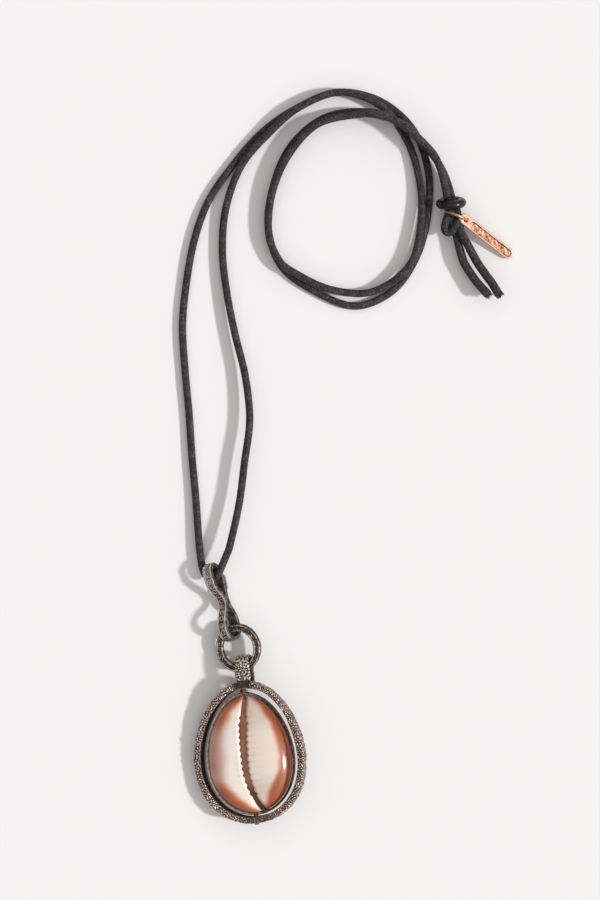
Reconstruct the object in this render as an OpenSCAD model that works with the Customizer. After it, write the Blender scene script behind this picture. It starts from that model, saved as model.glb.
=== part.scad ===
// Cowrie pendant on a doubled black cord, laid down flat on a surface.
// A whole cowrie in a plain silver bezel swivels on two pins inside an egg-shaped frame.
// The frame's strap loop carries a link ring, and a pinched hook joins the ring to the cord.
// Millimetres, +Z up, +Y from the pendant towards the hook, surface at z = 0.

/* [Frame] */
// Length of the egg frame without its strap loop
frame_length = 36.8; // [36:0.1:38]
// Width of the egg frame
frame_width = 29.6; // [29:0.1:31]
// Radial thickness of the frame's band at its two ends; the sides are thicker
frame_wall = 1.7; // [1.5:0.1:1.8]
// Depth of the frame's band
frame_depth = 3.1; // [2.8:0.1:3.6]
// Height of the raised cast scrolls on the band
relief_height = 0.22; // [0:0.01:0.3]
// Roll of the frame about its long axis, right side up
frame_roll = 17; // [12:0.5:20]

/* [Strap loop] */
// Width of the strap
strap_width = 3.7; // [3.2:0.1:4]
// Thickness of the strap
strap_thick = 0.8; // [0.6:0.05:1]
// Roll of the strap loop, less than the frame's
strap_roll = 8; // [4:0.5:12]

/* [Setting] */
// Length of the bezel
bezel_length = 31.8; // [31.4:0.1:31.9]
// Width of the bezel
bezel_width = 23; // [22.9:0.1:23.3]
// Wall of the bezel
bezel_wall = 0.55; // [0.5:0.01:0.56]
// Depth of the bezel
bezel_depth = 2; // [1.8:0.1:2.4]
// Roll of the bezel and the shell about the pins, right side up
setting_roll = 7; // [0:0.5:9]
// Radius of the pivot pins
pin_r = 0.6; // [0.5:0.05:0.7]
// Radial clearance of a pin in its bore
pin_clearance = 0.05; // [0.03:0.01:0.1]

/* [Shell] */
// Length of the cowrie
shell_length = 30.3; // [29.8:0.1:30.3]
// Width of the cowrie
shell_width = 21.5; // [21:0.1:21.5]
// Height of the toothed base above the pins
shell_base = 4.4; // [4:0.1:4.6]
// Depth of the back below the pins
shell_back = 5.6; // [5.2:0.1:5.6]
// Wall of the shell
shell_wall = 1.25; // [1:0.05:1.4]
// Half width of the slit between the two lips
slit_half = 0.82; // [0.7:0.02:0.9]
// Teeth on each lip
teeth = 12; // [10:1:14]

/* [Ring] */
// Length of the oval link ring
ring_length = 12.6; // [12.4:0.1:12.8]
// Width of the oval link ring
ring_width = 11.7; // [11.5:0.1:12]
// Radial thickness of the ring
ring_wall = 1.8; // [1.6:0.1:1.9]
// Depth of the ring
ring_depth = 1.9; // [1.6:0.1:2]

/* [Hook] */
// Width of the hook's strip
hook_width = 2.7; // [2.4:0.1:2.8]
// Thickness of the hook's strip
hook_thick = 1.0; // [0.9:0.05:1.05]
// Slope of the hook's profile from the surface
hook_slope = 58; // [54:1:62]

/* [Cord] */
// Diameter of the waxed cord
cord_d = 2.0; // [1.8:0.05:2]

/* [Tag] */
// Length of the copper tag
tag_length = 16.8; // [15:0.1:17]
// Width of the copper tag
tag_width = 2.8; // [2.6:0.1:3]
// Thickness of the copper tag at its raised rim
tag_thick = 0.9; // [0.7:0.05:1]

/* [Hidden] */

// Every place below is moved by this, so that the origin lies under the middle of the metalwork
to_origin = [0.11, -7.71, 0];
module placed() {
    translate(to_origin)
        children();
}

// The pendant's middle, seen from above, and the height of its swivel axis over the lower edge
pendant_y = -7.8;
rim_rounding = 0.04;
axis_height = frame_width / 2 * sin(frame_roll) + frame_depth / 2 * cos(frame_roll) - rim_rounding;

// Egg: half width, half length and how much narrower it gets towards +Y
frame_taper = 0.113;
setting_taper = 0.1;
function egg(half_width, half_length, taper, s) =
    [half_width * (1 - taper * sin(s)) * cos(s), half_length * sin(s)];
function unit(v) = v / norm(v);
function closed_normal(path, i) =
    let (n = len(path), t = unit(path[(i + 1) % n] - path[(i + n - 1) % n])) [t[1], -t[0]];

// Rings of m points, each joined to the next, and the last one joined to the first
function loop_faces(n, m) = [for (i = [0:n - 1], j = [0:m - 1], half = [0, 1])
    let (a = i * m, b = ((i + 1) % n) * m, k = (j + 1) % m)
    half == 0 ? [a + j, b + k, a + k] : [a + j, b + j, b + k]];
// Rings of m points with a flat cap on the first and on the last
function tube_faces(n, m) = concat(
    [for (i = [0:n - 2], j = [0:m - 1], half = [0, 1])
        let (a = i * m, b = a + m, k = (j + 1) % m)
        half == 0 ? [a + j, a + k, b + k] : [a + j, b + k, b + j]],
    [[for (j = [m - 1:-1:0]) j]],
    [[for (j = [0:m - 1]) (n - 1) * m + j]]);
module closed_band(path, profiles) {
    n = len(path);
    m = len(profiles[0]);
    polyhedron(
        points = [for (i = [0:n - 1], q = profiles[i])
            let (p = path[i] + closed_normal(path, i) * q[0]) [p[0], p[1], q[1]]],
        faces = loop_faces(n, m),
        convexity = 8);
}
module in_pendant(roll) {
    placed()
        translate([0, pendant_y, axis_height])
            rotate([0, -roll, 0])
                children();
}

// The bore goes right through the band at -Y and stops inside it at +Y
bore_overrun = 2;
blind_end = 0.7;

// Frame: a band with rounded corners whose top, outer and bottom faces carry raised scrolls
frame_stations = 132;
function scroll(s, k) = relief_height * max(0,
    sin(s * 31 + 70 * sin(s * 5) + k * 97) * cos(s * 17 - k * 140 + 40 * sin(s * 9)) + 0.35);
frame_turn = -3.5; // the egg leans to the right of the line through the pins
side_wall = 0.3; // how much thicker the band is at its sides
function frame_profile(s) =
    let (w = frame_wall + side_wall * pow(cos(s), 2), h = frame_depth / 2, c = 0.35)
    [
        [-w, -h + c],
        [-w, h - c],
        [-w + c, h],
        [-w * 0.62, h + scroll(s, 1)],
        [-w * 0.35, h + scroll(s, 2)],
        [-c / 2, h - c / 3],
        [scroll(s, 3), h * 0.55],
        [scroll(s, 4), 0],
        [scroll(s, 5), -h * 0.55],
        [-c / 2, -h + c / 3],
        [-w * 0.4, -h - scroll(s, 6) / 2],
        [-w + c, -h]
    ];
strap_height = 1.15; // middle of the front strap above the swivel axis
strap_drop = 4.7; // middle of the back strap below the swivel axis
strap_reach = 24.9; // outer end of the loop from the pendant's middle
strap_root = 17.7; // inner end of the loop, inside the frame's band
strap_corner = 1.5;
strap_shift = 0.7; // the strap is soldered on right of the pins
module strap_outline() {
    length = strap_reach - strap_root;
    height = strap_height + strap_drop;
    difference() {
        translate([strap_root, -strap_drop - strap_thick / 2])
            strap_slab(length, height + strap_thick, strap_corner);
        translate([strap_root - strap_thick, -strap_drop + strap_thick / 2])
            strap_slab(length, height - strap_thick, strap_corner - strap_thick / 2);
    }
    translate([strap_root, -strap_drop + strap_thick / 2])
        square([strap_thick + 0.3, strap_drop]);
}
module strap_slab(length, height, corner) {
    square([length - corner, height]);
    translate([0, corner])
        square([length, height - 2 * corner]);
    for (z = [corner, height - corner])
        translate([length - corner, z])
            circle(r = corner, $fn = 24);
}
module frame() {
    color("#5d5650")
        difference() {
            union() {
                in_pendant(frame_roll) {
                    steps = [for (i = [0:frame_stations - 1]) i * 360 / frame_stations];
                    rotate([0, 0, frame_turn])
                        closed_band(
                            [for (s = steps) egg(frame_width / 2, frame_length / 2, frame_taper, s)],
                            [for (s = steps) frame_profile(s)]);
                }
                in_pendant(strap_roll)
                    translate([strap_shift - strap_width / 2, 0, 0])
                        rotate([90, 0, 90])
                            linear_extrude(strap_width)
                                strap_outline();
            }
            in_pendant(0)
                translate([0, -frame_length / 2 - bore_overrun, 0])
                    rotate([-90, 0, 0])
                        cylinder(
                            r = pin_r + pin_clearance,
                            h = frame_length + bore_overrun - blind_end,
                            $fn = 32);
        }
}

// Bezel: a plain egg-shaped wall with a thin inner lip, and a pin soldered to each end
setting_y = -0.45; // the bezel sits nearer the frame's -Y end
bezel_sink = 0.7; // middle of the bezel's wall below the pins
bezel_lip = 0.1;
lip_depth = 0.5;
pin_root = 0.4; // how far a pin reaches into the bezel's wall
pin_nub = 0.45; // how far the -Y pin stands out of the band
pin_gap = 0.9; // from the +Y pin's end to the outside of the band
module egg_plate(width, length) {
    polygon([for (i = [0:71]) egg(width / 2, length / 2, setting_taper, i * 5)]);
}
module bezel() {
    pin_start = bezel_length / 2 - pin_root;
    top_pin = frame_length / 2 - pin_gap;
    low_pin = -frame_length / 2 - pin_nub;
    bore_width = bezel_width - 2 * bezel_wall;
    bore_length = bezel_length - 2 * bezel_wall;
    color("#6b6661")
        in_pendant(setting_roll)
            difference() {
                union() {
                    translate([0, setting_y, -bezel_sink - bezel_depth / 2])
                        linear_extrude(bezel_depth)
                            egg_plate(bezel_width, bezel_length);
                    for (ends = [[setting_y + pin_start, top_pin], [low_pin, setting_y - pin_start]])
                        translate([0, ends[0], 0])
                            rotate([-90, 0, 0])
                                cylinder(r = pin_r, h = ends[1] - ends[0], $fn = 32);
                }
                translate([0, setting_y, -bezel_sink - bezel_depth])
                    linear_extrude(bezel_depth * 2)
                        egg_plate(bore_width - 2 * bezel_lip, bore_length - 2 * bezel_lip);
                translate([0, setting_y, -bezel_sink - bezel_depth])
                    linear_extrude(bezel_depth * 1.5 - lip_depth)
                        egg_plate(bore_width, bore_length);
            }
}

// Shell: C-shaped sections along the slit, with a tooth every four stations
tooth_pitch = 19.8 / teeth;
teeth_middle = -0.15; // middle of the row of teeth along the shell
tooth_wave = [0, 0.8, 1, 0.7];
low_stations = [-0.998, -0.985, -0.955, -0.92, -0.87, -0.8, -0.73];
shell_stations = concat(
    low_stations,
    [for (i = [0:4 * teeth]) ((i / 4 - teeth / 2) * tooth_pitch + teeth_middle) / (shell_length / 2)],
    [0.7, 0.76, 0.82, 0.87, 0.91, 0.94, 0.97, 0.985, 0.998]);
function swell(y) = sqrt(max(0, 1 - y * y));
function shell_half(y) = shell_width / 2 * swell(y) * (1 - setting_taper * y);
// The slit runs left of the middle, nears it at +Y and bends to the right at the narrow -Y end
function slit_x(y) = -0.95 + 1.2 * pow(max(0, y + 0.1), 2) + 5.05 * pow(max(0, -y - 0.15), 2);
function slit_gap(y, w) = slit_half * min(1, w / 5) * (y > 0.5 ? max(0.62, 2.5 - 3 * y) : 1);
function tooth(i) =
    let (k = i - len(low_stations)) (k < 0 || k > 4 * teeth) ? 0.8 : tooth_wave[k % 4];
function shell_section(y, i, shrink) =
    let (
        w = shell_half(y) - shrink,
        taper = min(1, w / 6),
        top = (shell_base - shrink) * pow(swell(y), 0.8),
        low = (shell_back - shrink) * pow(swell(y), 0.6),
        gap = slit_gap(y, w),
        x = slit_x(y) * min(1, w / 4),
        left = x - gap + taper * (0.5 * tooth(i) - 0.45),
        right = x + gap - taper * (0.35 * tooth(i) - 0.3),
        t = shell_wall * min(1, w / 4) * 0.98,
        rise = function (px, reach, up) up * sqrt(max(0, 1 - px * px / (reach * reach)))
    )
    concat(
        [[left, rise(left, w, top) - t], [left, rise(left, w, top) - 0.4 * t]],
        [[left - 0.35 * t, rise(left, w, top) - 0.03 * t]],
        [for (f = [0.25, 0.5, 0.72, 0.88, 0.97])
            let (px = left - 0.35 * t - (w + left - 0.35 * t) * f) [px, rise(px, w, top)]],
        [for (a = [180:30:360]) [w * cos(a), low * sin(a)]],
        [for (f = [0.97, 0.88, 0.72, 0.5, 0.25])
            let (px = right + 0.35 * t + (w - right - 0.35 * t) * f) [px, rise(px, w, top)]],
        [[right + 0.35 * t, rise(right, w, top) - 0.03 * t]],
        [[right, rise(right, w, top) - 0.4 * t], [right, rise(right, w, top) - t]],
        [for (f = [0.35, 0.75])
            let (px = right + (w - t - right) * f) [px, rise(px, w - t * 0.5, top - t)]],
        [for (a = [360:-36:180]) [(w - t) * cos(a), (low - t) * sin(a)]],
        [for (f = [0.75, 0.35])
            let (px = left - (w - t + left) * f) [px, rise(px, w - t * 0.5, top - t)]]
    );
module shell() {
    n = len(shell_stations);
    m = len(shell_section(0, 4, 0));
    color("#e8d8c6")
        in_pendant(setting_roll)
            polyhedron(
                points = [for (i = [0:n - 1], q = shell_section(shell_stations[i], i, 0))
                    [q[0], shell_stations[i] * shell_length / 2 + setting_y, q[1]]],
                faces = tube_faces(n, m),
                convexity = 10);
}

// Packing: the brown filler that shows in the slit, a closed form inside the shell
module packing() {
    stations = [-0.88, -0.82, -0.68, -0.5, -0.3, -0.1, 0.1, 0.3, 0.5, 0.68, 0.82, 0.87];
    sides = 20;
    gap = shell_wall + 0.12;
    color("#8a6248")
        in_pendant(setting_roll)
            polyhedron(
                points = [for (y = stations, j = [0:sides - 1])
                    let (
                        a = j * 360 / sides,
                        w = shell_half(y) - gap,
                        up = (shell_base - gap) * pow(swell(y), 0.8) - 0.6,
                        low = (shell_back - gap) * pow(swell(y), 0.6) - 0.5
                    )
                    [(w - 0.7) * cos(a), setting_y + y * shell_length / 2, (sin(a) > 0 ? up : low) * sin(a)]],
                faces = tube_faces(len(stations), sides),
                convexity = 4);
}

// Link ring: an oval band whose top face has a sunk channel between two raised edges
ring_place = [-0.1, 19.2, 3.3];
ring_tilt = [5, -11, 0];
module link_ring() {
    steps = [for (i = [0:47]) i * 7.5];
    w = ring_wall;
    h = ring_depth / 2;
    profile = [[-w, -h + 0.2], [-w, h - 0.15], [-w + 0.2, h], [-w + 0.45, h - 0.2], [-0.45, h - 0.2],
        [-0.2, h], [0, h - 0.15], [0, -h + 0.2], [-0.25, -h], [-w + 0.25, -h]];
    color("#62564a")
        placed()
            translate(ring_place)
                rotate(ring_tilt)
                    closed_band(
                        [for (s = steps) [ring_width / 2 * cos(s), ring_length / 2 * sin(s)]],
                        [for (s = steps) profile]);
}

// Hook: one strip bent to two loops and pinched between them, in its own upright plane
hook_place = [-5.2, 41.9, 3.75];
hook_turn = -79;
hook_route = [[0.5, 0.3], [1, 1.4], [2.4, 2.2], [4.2, 2.4], [6, 2.1], [7.6, 1.1], [9, 0.1], [10.6, -0.25],
    [12.2, 0.1], [13.6, 1.1], [15.2, 2.3], [17, 3.1], [18.7, 3], [20, 1.9], [20.5, 0.2], [20.1, -1.4],
    [18.7, -2.5], [16.9, -2.9], [15, -2.8], [13.4, -2.2], [12, -1.6], [10.4, -1.4], [8.6, -1.5],
    [6.6, -1.8], [4.6, -2.1], [2.6, -1.9], [1.2, -1]];
function spline(p, i, t, closed) =
    let (
        n = len(p),
        a = closed ? p[(i + n - 1) % n] : p[max(i - 1, 0)],
        b = p[i % n],
        c = closed ? p[(i + 1) % n] : p[min(i + 1, n - 1)],
        d = closed ? p[(i + 2) % n] : p[min(i + 2, n - 1)]
    )
    0.5 * (2 * b + (c - a) * t + (2 * a - 5 * b + 4 * c - d) * t * t + (3 * b - a - 3 * c + d) * t * t * t);
module hook() {
    path = [for (i = [0:len(hook_route) - 1], t = [0, 0.5])
        let (q = spline(hook_route, i, t, true)) [q[0], -q[1]]];
    t = hook_thick / 2;
    w = hook_width / 2;
    profile = [[-t, -w], [-t, w], [t - 0.1, w], [t, w - 0.15], [t, w - 0.45], [t - 0.18, w - 0.6],
        [t - 0.18, -w + 0.6], [t, -w + 0.45], [t, -w + 0.15], [t - 0.1, -w]];
    color("#6a635c")
        placed()
            translate(hook_place)
                rotate([0, 0, hook_turn])
                    rotate([-hook_slope, 0, 0])
                        closed_band(path, [for (q = path) profile]);
}

// Cord: one doubled length from the knot, through the hook's upper loop and back to the knot
cord_route = [
    [67.3, 130, 2.7], [66.75, 133.2, 2.6], [65.75, 136.8, 2.6], [64, 140.6, 2.8], [61.5, 144.3, 3.35],
    [59.9, 146.2, 3.6], [55.2, 150.8, 4.15], [48, 154.2, 3.6], [36.9, 154.1, 2.6], [27.3, 147.9, 1.6],
    [21.5, 138, 1.2], [19, 127, 1], [21.5, 116.6, 1], [29.7, 109.2, 1.1], [39.5, 104.5, 1],
    [49.7, 107.6, 1], [56.9, 116.1, 1], [60.9, 127, 1], [62, 138, 1.1], [59, 149, 1.1], [51.2, 157.1, 1],
    [40.5, 160.4, 1], [29.7, 157.4, 1.1], [20.2, 152.2, 1.1], [12.2, 145, 1], [4.4, 136, 1],
    [-0.5, 126, 1.1], [-3.75, 115, 1], [-5.9, 104, 1], [-6.45, 92.5, 1], [-6.6, 81, 1], [-7, 70, 1.1],
    [-7.15, 58.5, 1.3], [-7.5, 47.5, 1.7], [-7.45, 43.3, 1.9], [-7.3, 41.2, 2.1], [-6.9, 39.4, 2.4],
    [-6.2, 38.3, 2.9], [-5.2, 37.8, 3.4], [-4.2, 38, 4], [-3.3, 39, 4.6], [-2.4, 40.4, 5],
    [-0.6, 43.7, 5], [0.5, 46, 4.8], [4, 56.5, 4.3], [6.5, 67, 4], [9, 78, 3.6], [9, 89.5, 3],
    [7.5, 100.5, 2.5], [6.5, 111.5, 2.1], [6.5, 122.5, 1.8], [8.6, 133.5, 1.9], [13.7, 143.9, 2.2],
    [21.5, 151.3, 2.8], [30.4, 157.4, 3.2], [41.4, 160.1, 3.25], [51.6, 155.4, 2.65], [57.5, 145.5, 1.35],
    [59.5, 134.5, 1.7], [58.5, 123.5, 2.6], [54.5, 113.45, 3.1], [44.5, 107.75, 2.2], [33.5, 109.4, 2.2],
    [24, 115.1, 3], [20.6, 119, 3.05], [18.95, 126, 3.05], [21, 136, 3.35], [26.2, 145.2, 3.9],
    [34.5, 152.3, 4.7], [45.5, 153.6, 5.8], [51, 152.6, 6.1], [56.5, 149.8, 6.15], [60, 146.1, 5.7],
    [61.6, 144.2, 5.45], [63.85, 141, 4.95], [65.05, 137.3, 4.65], [65.65, 133.6, 4.35], [66, 130, 4.25]
];
bight = 38;
tail_left_route = [
    [66.9, 121.3, 2.7], [67.5, 119.2, 2.6], [68, 116, 2.65], [68.7, 112.7, 2.8], [70.1, 109.7, 3],
    [71.7, 106.9, 3.4], [74.2, 103.4, 4.2]
];
tail_right_route = [
    [68.35, 121.6, 4.1], [69.2, 119.4, 4], [70.5, 116.1, 3.6], [72.1, 112.3, 3.5], [73.7, 109.3, 3.75],
    [75.4, 106.5, 4.1], [77.3, 103.2, 4.8]
];
function route_point(p, u) = let (i = min(floor(u), len(p) - 2)) spline(p, i, u - i, false);
module cord_tube(route, first, last, rings) {
    sides = 8;
    placed()
        polyhedron(
            points = [for (k = [0:rings - 1])
                let (
                    u = first + (last - first) * k / (rings - 1),
                    p = route_point(route, u),
                    ahead = route_point(route, min(u + 0.05, len(route) - 1)),
                    behind = route_point(route, max(u - 0.05, 0)),
                    along = unit(ahead - behind),
                    side = unit(cross(along, [0, 0, 1])),
                    up = cross(side, along)
                )
                for (j = [0:sides - 1])
                    let (a = (j + 0.5) * 360 / sides) p + cord_d / 2 * (side * cos(a) + up * sin(a))],
            faces = tube_faces(rings, sides),
            convexity = 10);
}
module cord_left() {
    color("#222224")
        cord_tube(cord_route, 0, bight, 52);
}
module cord_right() {
    color("#222224")
        cord_tube(cord_route, bight, len(cord_route) - 1, 52);
}
module tail_left() {
    color("#222224")
        cord_tube(tail_left_route, 0, len(tail_left_route) - 1, 9);
}
module tail_right() {
    color("#222224")
        cord_tube(tail_right_route, 0, len(tail_right_route) - 1, 9);
}

// Slide ring: a smooth black ring squeezed over both strands above the knot
slide_place = [66.9, 128.4, 3.8];
slide_tilt = [107, 0, -6];
module soft_ring(half_width, half_height, r) {
    steps = [for (i = [0:19]) i * 18];
    closed_band(
        [for (s = steps) [half_width * cos(s), half_height * sin(s)]],
        [for (s = steps) [for (j = [0:7]) [-r + r * cos(-j * 45), r * sin(-j * 45)]]]);
}
module slide_ring() {
    color("#161617")
        placed()
            translate(slide_place)
                rotate(slide_tilt)
                    soft_ring(3.95, 3.8, 1.2);
}

// Knot: both strands side by side in a short neck, then the turns
neck_places = [[66.25, 129.8, 3.3], [67.65, 129.8, 2.9]];
neck_r = 0.9;
neck_length = 6.6;
neck_turn = 8;
knot_place = [66.5, 122.1, 3.1];
module knot() {
    color("#1c1c1e")
        placed()
            union() {
                for (p = neck_places)
                    translate(p)
                        rotate([90, 0, neck_turn])
                            cylinder(r = neck_r, h = neck_length, $fn = 16);
                translate(knot_place) {
                    scale([1.15, 0.95, 1])
                        sphere(r = 2.1, $fn = 20);
                    rotate([70, 0, 40])
                        soft_ring(2.9, 2.5, 1);
                    rotate([60, 0, -50])
                        soft_ring(2.7, 2.5, 1);
                }
            }
}

// Tag: a rounded copper strip with a raised rim, hung from a plain wire ring
tag_ring_place = [67.86, 124.93, 3.8];
tag_ring_turn = -29;
tag_ring_r = 2.85;
tag_wire_r = 0.4;
module tag_ring() {
    color("#b8703f")
        placed()
            translate(tag_ring_place)
                rotate([0, 0, tag_ring_turn])
                    rotate([90, 0, 0])
                        rotate_extrude($fn = 36)
                            translate([tag_ring_r, 0])
                                circle(r = tag_wire_r, $fn = 12);
}
tag_hole = [70.35, 123.5, 4.1];
tag_turn = -43;
tag_slope = 12.5;
module stadium(length, width) {
    circle(d = width, $fn = 32);
    translate([0, -width / 2])
        square([length, width]);
    translate([length, 0])
        circle(d = width, $fn = 32);
}
tag_rim = 0.35;
tag_hole_r = 0.75;
panel_start = 2.6; // from the hole to the sunk panel
panel_depth = 0.2;
module tag() {
    span = tag_length - tag_width;
    color("#c98555")
        placed()
            translate(tag_hole)
                rotate([0, tag_slope, tag_turn])
                    translate([0, 0, -tag_thick / 2])
                        difference() {
                            linear_extrude(tag_thick)
                                stadium(span, tag_width);
                            translate([panel_start, 0, tag_thick - panel_depth])
                                linear_extrude(tag_thick)
                                    stadium(span - panel_start, tag_width - 2 * tag_rim);
                            translate([0, 0, -1])
                                cylinder(r = tag_hole_r, h = tag_thick + 2, $fn = 24);
                        }
}

frame();
bezel();
shell();
packing();
link_ring();
hook();
cord_left();
cord_right();
slide_ring();
knot();
tail_left();
tail_right();
tag_ring();
tag();
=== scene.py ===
import bpy
import math
import numpy as np
from mathutils import Matrix, Vector, geometry


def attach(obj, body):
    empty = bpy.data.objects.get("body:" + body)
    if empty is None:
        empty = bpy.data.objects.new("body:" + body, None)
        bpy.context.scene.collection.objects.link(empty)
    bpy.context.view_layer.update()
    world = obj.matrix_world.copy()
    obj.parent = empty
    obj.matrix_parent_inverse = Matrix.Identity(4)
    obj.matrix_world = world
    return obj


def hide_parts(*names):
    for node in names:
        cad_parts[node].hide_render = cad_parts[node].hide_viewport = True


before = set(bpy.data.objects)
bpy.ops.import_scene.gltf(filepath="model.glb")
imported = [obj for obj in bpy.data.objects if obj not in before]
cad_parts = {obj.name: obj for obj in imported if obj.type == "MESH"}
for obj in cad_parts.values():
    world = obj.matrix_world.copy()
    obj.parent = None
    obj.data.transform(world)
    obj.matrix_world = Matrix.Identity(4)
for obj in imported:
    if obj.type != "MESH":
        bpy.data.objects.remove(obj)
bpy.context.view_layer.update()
print("frame loaded:", len(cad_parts), "solids")

mm = 0.001

# where things stand, in mm, the same numbers as in the source
originShift = np.array([0.11, -7.71, 0.0])
pendantPlace = np.array([0.0, -7.8, 5.7694])
frameRoll = 17.0  # right side of the frame is up
strapRoll = 8.0
settingRoll = 7.0
settingShift = -0.45  # the bezel sits nearer the lower end of the frame
frameTaper = 0.113
settingTaper = 0.1


def linearColor(code):
    # an sRGB hex code to linear values
    parts = [int(code[i:i + 2], 16) / 255 for i in (1, 3, 5)]
    linear = [v / 12.92 if v <= 0.04045 else ((v + 0.055) / 1.055) ** 2.4 for v in parts]
    return (*linear, 1.0)


def addNode(tree, kind, values=None, **settings):
    # a value that is (node, output name) becomes a link
    node = tree.nodes.new("ShaderNode" + kind)
    for key, value in settings.items():
        setattr(node, key, value)
    for key, value in (values or {}).items():
        if isinstance(value, tuple) and isinstance(value[0], bpy.types.Node):
            tree.links.new(value[0].outputs[value[1]], node.inputs[key])
        else:
            node.inputs[key].default_value = value
    return node


def setRamp(node, stops):
    elements = node.color_ramp.elements
    while len(elements) < len(stops):
        elements.new(0.5)
    for element, (place, code) in zip(elements, stops):
        element.position = place
        element.color = linearColor(code) if isinstance(code, str) else (code, code, code, 1)


def newMaterial(name):
    material = bpy.data.materials.new(name)
    material.use_nodes = True
    material.node_tree.nodes.clear()
    return material, material.node_tree


def finishMaterial(material, values):
    # the shader comes last, over the nodes made before it
    shader = addNode(material.node_tree, "BsdfPrincipled", values)
    addNode(material.node_tree, "OutputMaterial", {"Surface": (shader, "BSDF")})
    return material


def turned(points, angles):
    # turns about x, then y, then z, in degrees
    turn = Matrix.Identity(3)
    for axis, angle in zip("XYZ", angles):
        turn = Matrix.Rotation(math.radians(angle), 3, axis) @ turn
    return points @ np.array(turn).T


def standing(points, f):
    # turned by the facts' tilt and stood at their place
    return turned(points, f["tilt"]) + f["place"] + originShift


def inPendant(points, roll):
    return turned(points, (0, -roll, 0)) + pendantPlace + originShift


def addObject(name, data):
    thing = bpy.data.objects.new(name, data)
    bpy.context.scene.collection.objects.link(thing)
    return thing


def buildMesh(name, points, faces, material, fields=None):
    points = np.asarray(points, dtype=float).reshape(-1, 3)
    mesh = bpy.data.meshes.new(name)
    mesh.from_pydata((points * mm).tolist(), [], faces)
    for key, values in (fields or {}).items():
        values = np.asarray(values, dtype=np.float32)
        vector = values.shape[-1] == 3 and values.size == points.size
        layer = mesh.attributes.new(key, "FLOAT_VECTOR" if vector else "FLOAT", "POINT")
        layer.data.foreach_set("vector" if vector else "value", values.ravel())
    mesh.polygons.foreach_set("use_smooth", [True] * len(mesh.polygons))
    mesh.materials.append(material)
    faceOut(mesh)
    return addObject(name, mesh)


def faceOut(mesh):
    # every face turned outwards, judged by the signed volume
    corners = np.empty(len(mesh.vertices) * 3)
    mesh.vertices.foreach_get("co", corners)
    corners = corners.reshape(-1, 3)
    mesh.calc_loop_triangles()
    triangles = np.empty(len(mesh.loop_triangles) * 3, dtype=np.int32)
    mesh.loop_triangles.foreach_get("vertices", triangles)
    a, b, c = (corners[triangles[k::3]] for k in range(3))
    if (a * np.cross(b, c)).sum() < 0:
        mesh.flip_normals()


def loftFaces(rows, cols, closedRows=True, first=0):
    i = np.arange(rows if closedRows else rows - 1)[:, None]
    j = np.arange(cols)[None, :]
    k = (j + 1) % cols
    a, b = i * cols, (i + 1) % rows * cols
    faces = (np.stack([a + j, a + k, b + k, b + j], -1).reshape(-1, 4) + first).tolist()
    if not closedRows:
        faces.append((np.arange(cols)[::-1] + first).tolist())
        faces.append((np.arange(cols) + (rows - 1) * cols + first).tolist())
    return faces


def loftPiece(name, rings, material, fields=None, closedRows=True):
    return buildMesh(name, rings, loftFaces(*rings.shape[:2], closedRows), material, fields)


def unit(v):
    return v / np.linalg.norm(v, axis=-1, keepdims=True)


def circle(count):
    angles = np.arange(count) * 2 * math.pi / count
    return np.column_stack([np.cos(angles), np.sin(angles)])


splineSteps = 12  # points made from one point of a route to the next


def spline(points, closed=False):
    # the same curve as in the source: it goes through each point
    p = np.asarray(points, dtype=float)
    n = len(p)
    rows = []
    for i in range(n if closed else n - 1):
        a, b = p[(i - 1) % n] if closed else p[max(i - 1, 0)], p[i]
        c, d = p[(i + 1) % n], p[(i + 2) % n] if closed else p[min(i + 2, n - 1)]
        for t in np.arange(splineSteps) / splineSteps:
            rows.append(0.5 * (2 * b + (c - a) * t + (2 * a - 5 * b + 4 * c - d) * t * t
                               + (3 * b - a - 3 * c + d) * t ** 3))
    if not closed:
        rows.append(p[-1])
    return np.array(rows)


def evenly(points, step, closed):
    # the same line with its points at even distances
    line = np.vstack([points, points[:1]]) if closed else points
    reach = np.concatenate([[0], np.cumsum(np.linalg.norm(np.diff(line, axis=0), axis=1))])
    count = max(8, int(round(reach[-1] / step)))
    where = np.arange(count) * reach[-1] / count if closed else np.linspace(0, reach[-1], count + 1)
    return np.stack([np.interp(where, reach, line[:, k]) for k in range(line.shape[1])], 1), where


def tubeRings(path, radius, sides):
    # rings square to the path, carried along it without twist; also each point's place in the cord
    along = unit(np.gradient(path, axis=0))
    side = unit(np.cross(along[0], [0.1, 0.2, 1.0]))
    around = circle(sides)
    reach = np.concatenate([[0], np.cumsum(np.linalg.norm(np.diff(path, axis=0), axis=1))])
    radius = np.broadcast_to(radius, (len(path),))
    rings, lay = [], []
    for i, (p, t) in enumerate(zip(path, along)):
        side = unit(side - np.dot(side, t) * t)
        rings.append(p + radius[i] * (around @ np.array([side, np.cross(side, t)])))
        lay.append(np.column_stack([around, np.full(sides, reach[i])]))
    return np.array(rings), np.array(lay)


def noiseWaves(grid, seed):
    # white noise over a grid, and how many waves to a mm each part of it has
    rows, cols, rowStep, colStep = grid
    field = np.random.default_rng(seed).standard_normal((rows, cols))
    down, across = np.fft.fftfreq(rows, rowStep), np.fft.fftfreq(cols, colStep)
    return field, np.hypot(down[:, None], across[None, :])


def sieved(field, kept):
    return np.fft.ifft2(np.fft.fft2(field) * kept).real


def wormField(grid, period, seed, turns):
    # raised worms and curls, a period apart in mm: noise filtered to one width, again and again
    field, waves = noiseWaves(grid, seed)
    for _ in range(turns):
        field = sieved(field, np.exp(-((waves * period - 1) / 0.3) ** 2))
        field = np.tanh(2.5 * field / field.std())
    field = sieved(field, np.exp(-(waves * period / 2.6) ** 2))
    return field / np.abs(field).max()


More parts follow.
